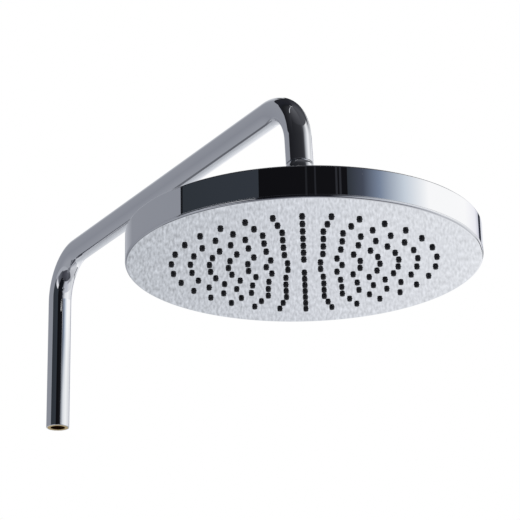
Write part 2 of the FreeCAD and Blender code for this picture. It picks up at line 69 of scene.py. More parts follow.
def linear(code: str) -> tuple[float, float, float, float]:
    """Turns an sRGB hex colour into linear light.

    The sRGB curve is a straight line at its foot and a power of 2.4 above it.

    Args:
        code: The colour as a hash and six hex digits.

    Returns:
        Red, green and blue in linear light, with an alpha of one.
    """
    tones = np.array([int(code[k:k + 2], 16) for k in (1, 3, 5)]) / 255.0
    light = np.where(tones <= 0.04045, tones / 12.92, ((tones + 0.055) / 1.055) ** 2.4)
    return (*light.tolist(), 1.0)


def cleared_tree(owner: bpy.types.Material | bpy.types.World) -> Tree:
    """Turns on the owner's nodes and takes out those it starts with.

    Args:
        owner: A new material or world.

    Returns:
        Its empty node tree.
    """
    owner.use_nodes = True
    owner.node_tree.nodes.clear()
    return owner.node_tree


def add_node(
    tree: Tree,
    kind: str,
    settings: Mapping[str | int, Any] | None = None,
    links: Mapping[str | int, Socket] | None = None,
) -> bpy.types.Node:
    """Adds a node with its settings and links.

    Args:
        tree: The node tree that gets the node.
        kind: The node's type.
        settings: Values by input name or number, or by the node's own property.
        links: Sources by input name or number.

    Returns:
        The new node.
    """
    node = tree.nodes.new(kind)
    for key, value in (settings or {}).items():
        if isinstance(key, int) or key in node.inputs:
            node.inputs[key].default_value = value
        else:
            setattr(node, key, value)
    for key, source in (links or {}).items():
        tree.links.new(source, node.inputs[key])
    return node


@dataclass
class Surface:
    """A patch of four-sided faces on numbered points; two patches add up to one."""

    points: np.ndarray
    faces: np.ndarray

    def __add__(self, other: "Surface") -> "Surface":
        """Puts the other patch's points and faces after this one's."""
        faces = np.concatenate([self.faces, other.faces + len(self.points)])
        return Surface(np.concatenate([self.points, other.points]), faces)

    def welded(self) -> tuple[np.ndarray, list[list[int]]]:
        """Joins points that coincide, and turns faces that lost a side into triangles.

        Returns:
            The points that are left, and the faces as lists of point numbers.
        """
        places = np.round(self.points / WELD).astype(np.int64)
        _, first, number = np.unique(places, axis=0, return_index=True, return_inverse=True)
        faces = number.reshape(-1)[self.faces]
        same = faces == np.roll(faces, -1, axis=1)
        lost = same.sum(axis=1)
        kept = faces[lost == 0].tolist()
        for side in range(same.shape[1]):
            kept += np.delete(faces[same[:, side] & (lost == 1)], side, axis=1).tolist()
        return self.points[first], kept


def grid_faces(rows: int, columns: int, close_rows: bool = False, close_columns: bool = True) -> np.ndarray:
    """Faces of a grid: each joins a point, its right neighbour and the two in the next row.

    Args:
        rows: Number of rows of points.
        columns: Number of points in a row.
        close_rows: Whether the last row joins the first.
        close_columns: Whether the last column joins the first.

    Returns:
        Point numbers, four for each face.
    """
    row, column = np.meshgrid(
        np.arange(rows if close_rows else rows - 1),
        np.arange(columns if close_columns else columns - 1),
        indexing="ij",
    )
    below, right = (row + 1) % rows, (column + 1) % columns
    near, far = row * columns, below * columns
    return np.stack([near + column, near + right, far + right, far + column], axis=-1).reshape(-1, 4)


def rounded(corners: Sequence[tuple[float, float, float]], steps: int) -> np.ndarray:
    """Profile through corners, with an arc of the corner's own radius at each.

    An arc's tangent length is its radius times the tangent of half the turn, and its points
    lie at even angles about a centre on the corner's bisector. A point on each side holds the
    shading of the straight stretches.

    Args:
        corners: Radius from the axis, height and corner radius, all round a closed profile.
        steps: Steps of each arc.

    Returns:
        The profile's points as pairs of radius and height.
    """
    places = np.array([corner[:2] for corner in corners])
    parts = []
    for k, (_, _, radius) in enumerate(corners):
        here, before, after = places[k], places[k - 1], places[(k + 1) % len(places)]
        if radius == 0.0:
            parts.append(here[None])
            continue
        back = (before - here) / np.linalg.norm(before - here)
        on = (after - here) / np.linalg.norm(after - here)
        half = math.acos(float(np.clip(back @ on, -1.0, 1.0))) / 2.0
        middle = (back + on) / np.linalg.norm(back + on)
        centre = here + middle * radius / math.sin(half)
        tangent = radius / math.tan(half)
        start, end = here + back * tangent - centre, here + on * tangent - centre
        turn = math.pi - 2.0 * half
        share = np.linspace(0.0, 1.0, steps + 1)[:, None]
        arc = centre + (np.sin((1.0 - share) * turn) * start + np.sin(share * turn) * end) / math.sin(turn)
        parts += [(here + back * (tangent + HOLD))[None], arc, (here + on * (tangent + HOLD))[None]]
    return np.concatenate(parts)


def turned(
    profile: np.ndarray,
    centre: Sequence[float],
    columns: int,
    start: float = 0.0,
    closed: bool = True,
) -> Surface:
    """Surface of a profile turned about an upright axis.

    A point is the centre plus the profile's radius along the turned direction, at the profile's
    height. The profile runs outward below and inward above, so the faces point outwards.

    Args:
        profile: Pairs of radius and height.
        centre: Where the axis stands and the height that the profile starts from.
        columns: Points round the axis.
        start: Angle of the first column.
        closed: Whether the profile's end joins its start.

    Returns:
        The turned surface.
    """
    angle = start + np.arange(columns) * FULL_TURN / columns
    radius, height = profile[:, :1], profile[:, 1:]
    points = np.stack(
        [
            centre[0] + radius * np.cos(angle),
            centre[1] + radius * np.sin(angle),
            np.broadcast_to(centre[2] + height, (len(profile), columns)),
        ],
        axis=-1,
    )
    return Surface(points.reshape(-1, 3), grid_faces(len(profile), columns, close_rows=closed))


def repeated(surface: Surface, moves: np.ndarray) -> Surface:
    """Copies of a patch, each moved by its own step.

    Args:
        surface: The patch to copy.
        moves: One step for each copy.

    Returns:
        All copies as one patch.
    """
    points = surface.points[None] + moves[:, None]
    first = np.arange(len(moves)) * len(surface.points)
    faces = surface.faces[None] + first[:, None, None]
    return Surface(points.reshape(-1, 3), faces.reshape(-1, 4))


def make_piece(name: str, surface: Surface, sharp: float = 40.0) -> bpy.types.Object:
    """Makes a smooth-shaded mesh object at the origin.

    Args:
        name: The piece's name.
        surface: Its points and faces, in metres.
        sharp: Edges that turn by more degrees than this stay crisp.

    Returns:
        The new object.
    """
    points, faces = surface.welded()
    mesh = bpy.data.meshes.new(name)
    mesh.from_pydata(points.tolist(), [], faces)
    mesh.shade_smooth()
    mesh.set_sharp_from_angle(angle=math.radians(sharp))
    mesh.validate()
    piece = bpy.data.objects.new(name, mesh)
    bpy.context.scene.collection.objects.link(piece)
    return piece


class Pattern(Enum):
    """How a surface was made, which decides the texture that draws its marks."""

    POLISHED = "long soft waves left by the polishing wheel"
    MOULDED = "fine even grain of a spark-eroded mould"
    LATHE_CUT = "even rings left by a lathe tool"


# Layers of finer noise in a grain, and how much of it they carry
LAYERS = {Pattern.POLISHED: 1.0, Pattern.MOULDED: 3.0}
FINE_SHARE = 0.45
# Period of the wave texture's bands at a scale of one, and how far lathe rings sway
WAVE_PERIOD = math.pi / 10.0
RING_SWAY = 0.4


@dataclass(frozen=True)
class Finish:
    """One finish: tone, gloss and relief follow a pattern of a real size."""

    name: str
    colour: str
    shade: str
    metallic: float
    gloss: tuple[float, float]
    pattern: Pattern
    pattern_mm: float
    relief_mm: float
    ior: float | None = None

    def texture(self, tree: Tree, coordinates: Socket) -> Socket:
        """Adds the texture of this finish's pattern.

        Args:
            tree: The material's node tree.
            coordinates: Object coordinates, in metres.

        Returns:
            The texture's strength, from 0 to 1.
        """
        size, links = self.pattern_mm * MM, {"Vector": coordinates}
        if self.pattern is Pattern.LATHE_CUT:
            rings = {"wave_type": "BANDS", "bands_direction": "Z", "Scale": WAVE_PERIOD / size}
            rings["Distortion"] = RING_SWAY
            return add_node(tree, "ShaderNodeTexWave", rings, links).outputs["Fac"]
        noise = {"Scale": 1.0 / size, "Detail": LAYERS[self.pattern], "Roughness": FINE_SHARE}
        return add_node(tree, "ShaderNodeTexNoise", noise, links).outputs["Fac"]

    def material(self) -> bpy.types.Material:
        """Builds the finish as a node material, once for all its pieces.

        Returns:
            The material.
        """
        found = bpy.data.materials.get(self.name)
        if found is not None:
            return found
        made = bpy.data.materials.new(self.name)
        tree = cleared_tree(made)
        place = add_node(tree, "ShaderNodeTexCoord").outputs["Object"]
        strength = self.texture(tree, place)
        tone = add_node(
            tree, "ShaderNodeMix", {"data_type": "RGBA", 6: linear(self.colour), 7: linear(self.shade)},
            {0: strength},
        )
        gloss = add_node(
            tree, "ShaderNodeMapRange", {"To Min": self.gloss[0], "To Max": self.gloss[1]},
            {"Value": strength},
        )
        relief = add_node(
            tree, "ShaderNodeBump", {"Strength": 1.0, "Distance": self.relief_mm * MM}, {"Height": strength}
        )
        settings: dict[str | int, Any] = {"Metallic": self.metallic}
        if self.ior is not None:
            settings["IOR"] = self.ior
        shader = add_node(
            tree, "ShaderNodeBsdfPrincipled", settings,
            {
                "Base Color": tone.outputs[2],
                "Roughness": gloss.outputs["Result"],
                "Normal": relief.outputs["Normal"],
            },
        )
        add_node(tree, "ShaderNodeOutputMaterial", None, {"Surface": shader.outputs["BSDF"]})
        return made

    def dress(self, piece: bpy.types.Object) -> None:
        """Puts the finish on a piece in place of what it wore."""
        piece.data.materials.clear()
        piece.data.materials.append(self.material())


# Moulded grain and lathe rings are too fine for a render, so they are as coarse here as they need to show

# Decorative chrome on polished brass: a clear mirror, a little cool, whose lines sway very slightly
CHROME_ON_BRASS = Finish(
    "chrome_plated_polished_brass", "#FAFAFB", "#F4F5F7", 1.0, (0.0, 0.02), Pattern.POLISHED, 38.0, 0.006
)
# Chrome on moulded ABS: the same mirror, a little softer, over the sink of the moulding
CHROME_ON_ABS = Finish(
    "chrome_plated_moulded_abs", "#FAFAFB", "#F4F5F7", 1.0, (0.0, 0.02), Pattern.POLISHED, 55.0, 0.004
)
# Liquid silicone rubber from a matt mould: near black with a dull sheen
BLACK_SILICONE = Finish(
    "moulded_black_silicone", "#191A1F", "#212228", 0.0, (0.45, 0.58), Pattern.MOULDED, 0.8, 0.01, 1.43
)
# Pressed EPDM: black, dry and dusty in its grain
BLACK_EPDM = Finish(
    "pressed_black_epdm_rubber", "#1C1C1C", "#262626", 0.0, (0.62, 0.78), Pattern.MOULDED, 0.6, 0.015, 1.52
)
# Brass from the lathe: warm yellow with fine rings that spread the highlight
TURNED_BRASS = Finish(
    "turned_bare_brass", "#D9B566", "#C9A253", 1.0, (0.18, 0.3), Pattern.LATHE_CUT, 0.7, 0.01
)
# Moulded acetal: milky white with a waxy sheen
WHITE_ACETAL = Finish(
    "moulded_white_acetal", "#ECEBE6", "#E4E3DD", 0.0, (0.32, 0.44), Pattern.MOULDED, 0.9, 0.008, 1.48
)
# Moulded ABS: mid grey with the mould's fine grain
GREY_ABS = Finish(
    "moulded_grey_abs", "#8B8D90", "#818386", 0.0, (0.4, 0.55), Pattern.MOULDED, 0.8, 0.01, 1.53
)
# Rolled and formed stainless steel: a soft grey metal with faint drawn lines
STAINLESS = Finish(
    "formed_stainless_steel", "#C9C8C5", "#BDBCB9", 1.0, (0.22, 0.34), Pattern.LATHE_CUT, 0.5, 0.004
)


def joint(name: str) -> Mapping[str, Any]:
    """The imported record's joint of that name."""
    return next(entry for entry in frame["joints"] if entry["name"] == name)


def show(piece: bpy.types.Object, body: str, slot: str, finish: Finish, *nodes: str) -> None:
    """Dresses a new piece, sets it on its body and lets it stand for its nodes.

    Args:
        piece: The new piece.
        body: The body that carries it.
        slot: The record's material slot; not used.
        finish: What the piece wears.
        nodes: The nodes that it stands for.
    """
    finish.dress(piece)
    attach(piece, body)
    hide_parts(*nodes)
    LOG.info("%s: %d points, on %s", piece.name, len(piece.data.vertices), body)


def dress_nodes(finishes: Mapping[str, Finish]) -> None:
    """Gives nodes whose shape stays their finishes.

    Args:
        finishes: What each node wears, by the node's name.
    """
    for name, finish in finishes.items():
        finish.dress(frame["nodes"][name])
        LOG.info("%s: %s", name, finish.name)


@dataclass
class ColumnTube:
    """The bent tube: riser, rear bend, level arm, front bend and leaning drop."""

    bend_radius: float = 45.0 * MM
    wall: float = 1.2 * MM
    end_above_ball: float = 43.5 * MM
    edge: float = 0.3 * MM
    columns: int = 96
    bend_steps: int = 60
    run_step: float = 12.0 * MM

    @property
    def radius(self) -> float:
        """Outer radius of the tube, from its own box."""
        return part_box("riser_arm_tube")[1].y

    def centre_line(self) -> tuple[np.ndarray, np.ndarray]:
        """Points of the tube's axis and the way to its outer side, in the plane of the bends.

        Straight runs lie at even steps. A bend's points are its centre plus the bend's radius
        along an angle that falls evenly, and the outer side is that same direction.

        Returns:
            Pairs of X and Z, and pairs of the unit direction to the outer side.
        """
        low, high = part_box("riser_arm_tube")
        level = high.z - self.radius
        swivel = joint("ball_swivel")
        ball, up = np.array(swivel["pos_m"])[[0, 2]], np.array(swivel["axis"])[[0, 2]]
        lean = math.atan2(-up[0], up[1])
        corner = ball + up * (level - ball[1]) / up[1]
        tangent = self.bend_radius * math.tan((math.pi / 2.0 - lean) / 2.0)
        bend_height = level - self.bend_radius
        rear = np.array([self.bend_radius, bend_height])
        front = np.array([corner[0] - tangent, bend_height])
        end = ball + up * self.end_above_ball

        rear_angle = np.linspace(math.pi, math.pi / 2.0, self.bend_steps)
        front_angle = np.linspace(math.pi / 2.0, lean, self.bend_steps)
        angle = np.concatenate([rear_angle, front_angle])
        side = np.stack([np.cos(angle), np.sin(angle)], axis=1)
        bends = np.repeat([rear, front], self.bend_steps, axis=0) + self.bend_radius * side

        riser = self.run(np.array([0.0, low.z]), bends[0])
        arm = self.run(bends[self.bend_steps - 1], bends[self.bend_steps])
        drop = self.run(end, bends[-1])[::-1]
        points = np.concatenate([riser, bends[:self.bend_steps], arm, bends[self.bend_steps:], drop])
        rear_side, front_side = np.split(side, 2)
        sides = np.concatenate([
            np.repeat(rear_side[:1], len(riser), axis=0), rear_side,
            np.repeat(front_side[:1], len(arm), axis=0), front_side,
            np.repeat(front_side[-1:], len(drop), axis=0),
        ])
        return points, sides

    def run(self, start: np.ndarray, end: np.ndarray) -> np.ndarray:
        """Even steps from start to just before end, with one more step close to the start.

        Args:
            start: Where the run starts.
            end: Where the next stretch starts.

        Returns:
            The run's points.
        """
        length = float(np.linalg.norm(end - start))
        steps = max(2, round(length / self.run_step))
        share = np.concatenate([[0.0, self.edge / length], np.linspace(0.0, 1.0, steps + 1)[1:-1]])
        return start + share[:, None] * (end - start)

    def surface(self) -> Surface:
        """A circle carried along the centre line outside, and back along it inside.

        A point is the axis point plus the radius times the cosine of the angle along the outer
        side, minus the radius times the sine across it. The rims are chamfered.

        Returns:
            The closed wall of the tube.
        """
        points, sides = self.centre_line()
        radii = np.full(len(points), self.radius)
        radii[[0, -1]] -= self.edge
        line = np.concatenate([points, points[::-1]])
        across = np.concatenate([sides, sides[::-1]])
        radii = np.concatenate([radii, np.full(len(points), self.radius - self.wall)])
        angle = np.arange(self.columns) * FULL_TURN / self.columns
        reach = radii[:, None] * np.cos(angle)
        skin = np.stack(
            [
                line[:, :1] + reach * across[:, :1],
                -radii[:, None] * np.sin(angle),
                line[:, 1:] + reach * across[:, 1:],
            ],
            axis=-1,
        )
        return Surface(skin.reshape(-1, 3), grid_faces(len(line), self.columns, close_rows=True))

    def build(self) -> None:
        """Makes the tube and dresses what is brazed into its ends."""
        tube = make_piece("column_tube_skin", self.surface())
        show(tube, "arm", "chrome_plated_brass", CHROME_ON_BRASS, "riser_arm_tube")
        dress_nodes({
            "riser_inlet_insert": TURNED_BRASS,
            "riser_inlet_washer": BLACK_EPDM,
            "outlet_nipple": CHROME_ON_BRASS,
        })


@dataclass
class BallJoint:
    """The union nut, the ball stud and the socket on the head."""

    def build(self) -> None:
        """Dresses the joint's turned and moulded pieces, whose shapes stay as they are."""
        dress_nodes({
            "union_nut": CHROME_ON_BRASS,
            "filter_washer": BLACK_EPDM,
            "filter_screen": STAINLESS,
            "flow_regulator": WHITE_ACETAL,
            "regulator_ring": BLACK_EPDM,
            "ball_stud": CHROME_ON_BRASS,
            "stud_retaining_ring": STAINLESS,
            "ball_seal": BLACK_EPDM,
            "upper_seat_ring": WHITE_ACETAL,
            "socket_collar": CHROME_ON_BRASS,
            "socket_bush": CHROME_ON_BRASS,
            "socket_gasket": BLACK_EPDM,
            "socket_locknut": TURNED_BRASS,
        })


@dataclass
class RainHead:
    """The round head: shell, mirror face plate and nozzle mat, with what lies between them."""

    # Shell, with its chamber wall and the pillars that take the screws
    columns: int = 360
    height: float = 27.0 * MM
    crown: float = 4.0 * MM
    top_wall: float = 3.0 * MM
    rim_wall: float = 2.5 * MM
    edge_round: float = 1.2 * MM
    foot_round: float = 0.25 * MM
    arc_steps: int = 8
    plateau: float = 34.0 * MM
    bush_hole: float = 10.2 * MM
    seam: float = 0.1 * MM
    chamber: float = 120.0 * MM
    chamber_wall: float = 4.0 * MM
    pillar: float = 4.5 * MM
    pillar_count: int = 8
    pillar_columns: int = 24
    pillar_hole: float = 1.55 * MM
    pillar_hole_top: float = 19.9 * MM
    fixing: float = 136.25 * MM
    # Face plate and its snap hooks
    face: float = 2.2 * MM
    face_round: float = 2.0 * MM
    round_rows: int = 13
    dome: float = 1.2 * MM
    dome_rows: int = 7
    slip: float = 0.1 * MM
    land_gap: float = 0.3 * MM
    hook_thickness: float = 2.0 * MM
    hook_width: float = 8.0 * MM
    hook_barb: float = 1.4 * MM
    hook_barb_height: float = 1.8 * MM
    # Nozzle rings, and the holes that they come through
    counts: tuple[int, ...] = (6, 12, 18, 24, 30, 30, 30)
    pitch: float = 16.0 * MM
    turn: float = math.radians(-33.0)
    hole: float = 2.6 * MM
    hole_edge: float = 0.15 * MM
    cell_rows: int = 2
    cell_sides: int = 6
    # Nozzle mat, and the water plate that presses on it
    mat: float = 1.5 * MM
    mat_radius: float = 119.0 * MM
    mat_columns: int = 120
    water_plate: float = 3.5 * MM
    nozzle: float = 2.4 * MM
    nozzle_tip: float = 2.2 * MM
    nozzle_round: float = 0.6 * MM
    nozzle_stand: float = 2.4 * MM
    nozzle_columns: int = 12
    nozzle_sharp: float = 50.0
    jet: float = 0.6 * MM
    jet_depth: float = 1.8 * MM

    @property
    def centre(self) -> np.ndarray:
        """Point on the head's axis at the level of the face's rim, above the face's slight dome.

        Returns:
            The point that the head's heights start from.
        """
        place = np.array(joint("head_spin")["pos_m"])
        place[2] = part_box("face_plate")[0].z
        return place

    @property
    def radius(self) -> float:
        """Radius of the head, from the shell's own box."""
        low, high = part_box("head_shell")
        return (high.y - low.y) / 2.0

    @property
    def flat_end(self) -> float:
        """Radius where the face ends and its rounded edge starts."""
        return self.radius - self.face_round

    @property
    def mat_top(self) -> float:
        """Height of the mat's back."""
        return self.face + self.mat

    @property
    def plate_top(self) -> float:
        """Height of the water plate's back."""
        return self.mat_top + self.water_plate

    def bulge(self, radius: np.ndarray) -> np.ndarray:
        """Depth of the face's slight dome: its height times one less the squared share of the radius."""
        return self.dome * (1.0 - np.minimum(radius / self.flat_end, 1.0) ** 2)

    def nozzle_places(self) -> np.ndarray:
        """Steps from the rim's foot to each nozzle on the dome, ring by ring on one starting line.

        Returns:
            One step for each nozzle.
        """
        radius = np.repeat(np.arange(1, len(self.counts) + 1) * self.pitch, self.counts)
        angle = np.concatenate([self.turn + np.arange(count) * FULL_TURN / count for count in self.counts])
        return np.stack([radius * np.cos(angle), radius * np.sin(angle), -self.bulge(radius)], axis=1)

    def pillar_places(self) -> np.ndarray:
        """Steps from the centre to the pillars, evenly spread on the fixing circle."""
        angle = np.arange(self.pillar_count) * FULL_TURN / self.pillar_count
        return self.fixing * np.stack([np.cos(angle), np.sin(angle), np.zeros(len(angle))], axis=1)

    def shell(self) -> Surface:
        """Profile of rim, crowned top and chamber wall turned about the head's axis, with pillars.

        Returns:
            The shell, its chamber wall and its pillars, each closed.
        """
        foot, top = self.face + self.seam, self.height + self.crown
        inside = self.radius - self.rim_wall
        body = rounded([
            (inside, foot, 0.0),
            (self.radius, foot, self.foot_round),
            (self.radius, self.height, self.edge_round),
            (self.plateau, top, 0.0),
            (self.bush_hole, top, 0.0),
            (self.bush_hole, top - self.top_wall, 0.0),
            (self.plateau, top - self.top_wall, 0.0),
            (inside, self.height - self.top_wall, 0.0),
        ], self.arc_steps)
        root = self.height - self.top_wall / 2.0
        wall = np.array([
            (self.chamber, self.plate_top), (self.chamber + self.chamber_wall, self.plate_top),
            (self.chamber + self.chamber_wall, root), (self.chamber, root),
        ])
        pillar = np.array([
            (0.0, self.pillar_hole_top), (self.pillar_hole, self.pillar_hole_top),
            (self.pillar_hole, self.plate_top), (self.pillar, self.plate_top),
            (self.pillar, root), (0.0, root),
        ])
        pillars = repeated(turned(pillar, self.centre, self.pillar_columns), self.pillar_places())
        return turned(body, self.centre, self.columns) + turned(wall, self.centre, self.columns) + pillars

    def cell_outline(
        self, count: int, ring: float, inner: float, outer: float
    ) -> tuple[np.ndarray, np.ndarray]:
        """Outline of one nozzle's share of its ring, seen from the nozzle.

        The outline runs along the outer arc, in along one side, back along the inner arc and out
        along the other side, with a point at each degree of the arcs.

        Args:
            count: Nozzles in the ring.
            ring: The ring's radius.
            inner: Radius of the inner arc.
            outer: Radius of the outer arc.

        Returns:
            Unit directions from the nozzle to the outline, and the distances to it.
        """
        steps = self.columns // count
        first = -(steps // 2) * FULL_TURN / self.columns
        last = first + steps * FULL_TURN / self.columns
        arc, side = np.arange(steps) / steps, np.arange(self.cell_sides) / self.cell_sides
        angle = np.concatenate([
            first + (last - first) * arc, np.full(self.cell_sides, last),
            last - (last - first) * arc, np.full(self.cell_sides, first),
        ])
        radius = np.concatenate([
            np.full(steps, outer), outer - (outer - inner) * side,
            np.full(steps, inner), inner + (outer - inner) * side,
        ])
        step = np.stack([radius * np.cos(angle) - ring, radius * np.sin(angle)], axis=1)
        distance = np.linalg.norm(step, axis=1)
        return step / distance[:, None], distance

    def ring_cells(self, count: int, ring: float, inner: float, outer: float) -> Surface:
        """Cells of one ring: the plate's back, the wall of the hole, its edge and the face, still flat.

        Along each ray from a nozzle's centre the back goes in from the outline to the hole. Then
        come the hole's wall and its edge, and even steps over the face out to the outline.

        Args:
            count: Nozzles in the ring.
            ring: The ring's radius.
            inner: Radius where the cells start.
            outer: Radius where they end.

        Returns:
            All cells of the ring, from the face's centre.
        """
        way, reach = self.cell_outline(count, ring, inner, outer)
        brim = self.hole + self.hole_edge
        share = np.linspace(0.0, 1.0, self.cell_rows + 1)
        face_rows = brim + share[:, None] * (reach - brim)
        wall_rows = np.full((2, len(reach)), self.hole)
        distance = np.concatenate([reach[None], wall_rows, face_rows])
        heights = np.concatenate([[self.face, self.face, self.hole_edge], np.zeros(self.cell_rows + 1)])
        levels = np.broadcast_to(heights[:, None], distance.shape)
        local = np.stack([ring + distance * way[:, 0], distance * way[:, 1], levels], axis=-1)
        angle = self.turn + np.arange(count) * FULL_TURN / count
        cos, sin = np.cos(angle)[:, None, None], np.sin(angle)[:, None, None]
        points = np.stack(
            [
                local[..., 0] * cos - local[..., 1] * sin,
                local[..., 0] * sin + local[..., 1] * cos,
                np.broadcast_to(local[..., 2], (count, *local.shape[:2])),
            ],
            axis=-1,
        )
        cell = Surface(np.zeros((local.shape[0] * local.shape[1], 3)), grid_faces(*local.shape[:2]))
        return Surface(points.reshape(-1, 3), repeated(cell, np.zeros((count, 3))).faces)

    def plate(self) -> Surface:
        """Face plate: middle, rings of cells, rounded edge and land, and the hooks behind.

        All but the hooks is made flat. Then each point sinks by the dome at its radius, in full on
        the lower side, less in the holes and not at all at the plate's back.

        Returns:
            The plate's closed surface and its hooks.
        """
        half = self.pitch / 2.0
        land_in = self.mat_radius + self.slip
        last = len(self.counts)
        discs = np.array([[(0.0, 0.0), (half, 0.0)], [(half, self.face), (0.0, self.face)]])
        lower, upper = (turned(disc, np.zeros(3), self.columns, self.turn, closed=False) for disc in discs)
        made = lower + upper
        for k, count in enumerate(self.counts, start=1):
            outer = land_in if k == last else k * self.pitch + half
            made += self.ring_cells(count, k * self.pitch, k * self.pitch - half, outer)
        made += self.plate_edge(land_in)
        share = np.clip(1.0 - made.points[:, 2] / self.face, 0.0, 1.0)
        made.points[:, 2] -= share * self.bulge(np.hypot(made.points[:, 0], made.points[:, 1]))
        made.points = made.points + self.centre
        return made + self.hooks()

    def plate_edge(self, land_in: float) -> Surface:
        """Plain outer band of the face, its rounded edge and the land inside the rim.

        Args:
            land_in: Radius where the band starts.

        Returns:
            The turned band, from the face's centre.
        """
        land_out = self.radius - self.rim_wall - self.land_gap
        band = np.linspace(land_in, self.flat_end - HOLD, self.dome_rows)
        bend = np.linspace(0.0, math.pi / 2.0, self.round_rows)
        edge = self.face_round * np.stack([np.sin(bend), 1.0 - np.cos(bend)], axis=1)
        land = [
            (self.radius, self.face), (land_out, self.face), (land_out, self.mat_top),
            (land_in, self.mat_top), (land_in, self.face),
        ]
        flat = np.stack([band, np.zeros(self.dome_rows)], axis=1)
        profile = np.concatenate([flat, edge + [self.flat_end, 0.0], land])
        return turned(profile, np.zeros(3), self.columns, self.turn, closed=False)

    def hooks(self) -> Surface:
        """Snap hooks behind the plate: a stem and a wedge-shaped barb, drawn across its width.

        Returns:
            All hooks, in place.
        """
        inner, outer = self.fixing - self.hook_thickness / 2.0, self.fixing + self.hook_thickness / 2.0
        foot = self.plate_top + self.slip
        high, tip = foot + self.hook_barb_height, outer + self.hook_barb
        stem = np.array([(inner, self.face), (outer, self.face), (outer, high), (inner, high)])
        barb = np.array([(outer, foot), (tip, foot), (outer, high), (outer, high)])
        # Six sides of a block, whose points 0 to 3 are one end and 4 to 7 the other
        faces = np.array([
            (0, 1, 2, 3), (7, 6, 5, 4), (1, 0, 4, 5), (2, 1, 5, 6), (3, 2, 6, 7), (0, 3, 7, 4),
        ])
        half = self.hook_width / 2.0
        across = np.repeat([-half, half], len(stem))
        step = FULL_TURN / self.pillar_count
        angle = step / 2.0 + np.arange(self.pillar_count)[:, None] * step
        made = Surface(np.zeros((0, 3)), np.zeros((0, 4), dtype=int))
        for profile in (stem, barb):
            out, up = np.tile(profile, (2, 1)).T
            points = np.stack(
                [
                    out * np.cos(angle) - across * np.sin(angle),
                    out * np.sin(angle) + across * np.cos(angle),
                    np.broadcast_to(up, (self.pillar_count, len(up))),
                ],
                axis=-1,
            )
            block = repeated(Surface(np.zeros((len(up), 3)), faces), np.zeros((self.pillar_count, 3)))
            made += Surface(points.reshape(-1, 3) + self.centre, block.faces)
        return made

    def nozzles(self) -> Surface:
        """Mat disc and its nozzles: a short tapered stub with a round tip and a jet sunk in it.

        Returns:
            The disc and all nozzles, each closed.
        """
        low = -self.nozzle_stand
        shoulder = low + self.nozzle_round
        slant = self.nozzle_round * math.sqrt(0.5)
        stub = np.array([
            (0.0, low + self.jet_depth),
            (self.jet, low + self.jet_depth),
            (self.jet, low),
            (self.nozzle_tip - self.nozzle_round, low),
            (self.nozzle_tip - self.nozzle_round + slant, shoulder - slant),
            (self.nozzle_tip, shoulder),
            (self.nozzle, self.mat_top),
            (0.0, self.mat_top),
        ])
        rim = self.mat_radius
        disc = np.array([(0.0, self.face), (rim, self.face), (rim, self.mat_top), (0.0, self.mat_top)])
        mat = turned(disc, self.centre, self.mat_columns, closed=False)
        one = turned(stub, self.centre, self.nozzle_columns, closed=False)
        return mat + repeated(one, self.nozzle_places())

    def build(self) -> None:
        """Makes the shell, the face and the nozzles, and dresses what lies between them."""
        shell = make_piece("head_shell_skin", self.shell())
        show(shell, "head", "chrome_plated_abs", CHROME_ON_ABS, "head_shell")
        plate = make_piece("face_plate_skin", self.plate())
        show(plate, "head", "chrome_plated_abs", CHROME_ON_ABS, "face_plate")
        nozzles = make_piece("nozzle_mat_skin", self.nozzles(), self.nozzle_sharp)
        show(nozzles, "head", "black_silicone", BLACK_SILICONE, "nozzle_mat")
        dress_nodes({
            "chamber_seal": BLACK_EPDM,
            "water_plate": GREY_ABS,
            "plate_screws": STAINLESS,
            "flow_spreader": WHITE_ACETAL,
            "spreader_screws": STAINLESS,
        })


# Width and height of the lumps on rough-cast plaster, and the layers of finer noise in them
LUMP = (10.0 * MM, 30.0 * MM)
LUMP_LAYERS = 2.0


@dataclass(frozen=True)
class Panel:
    """One curved panel round the object, with a tone at each corner.

    Its angles are degrees from the camera's side, growing to the camera's right, and degrees above
    the horizon. Its tones are those at its first and last angle, along its foot and along its top.
    Rough is how far rough-cast plaster swings the tone at the first and last angle, reach is the
    distance in metres, and slope is how many degrees the foot rises from the first angle to the last.
    """

    name: str
    across: tuple[float, float]
    up: tuple[float, float]
    foot: tuple[str, str]
    top: tuple[str, str] | None = None
    rough: tuple[float, float] = (0.0, 0.0)
    reach: float = 6.0
    slope: float = 0.0


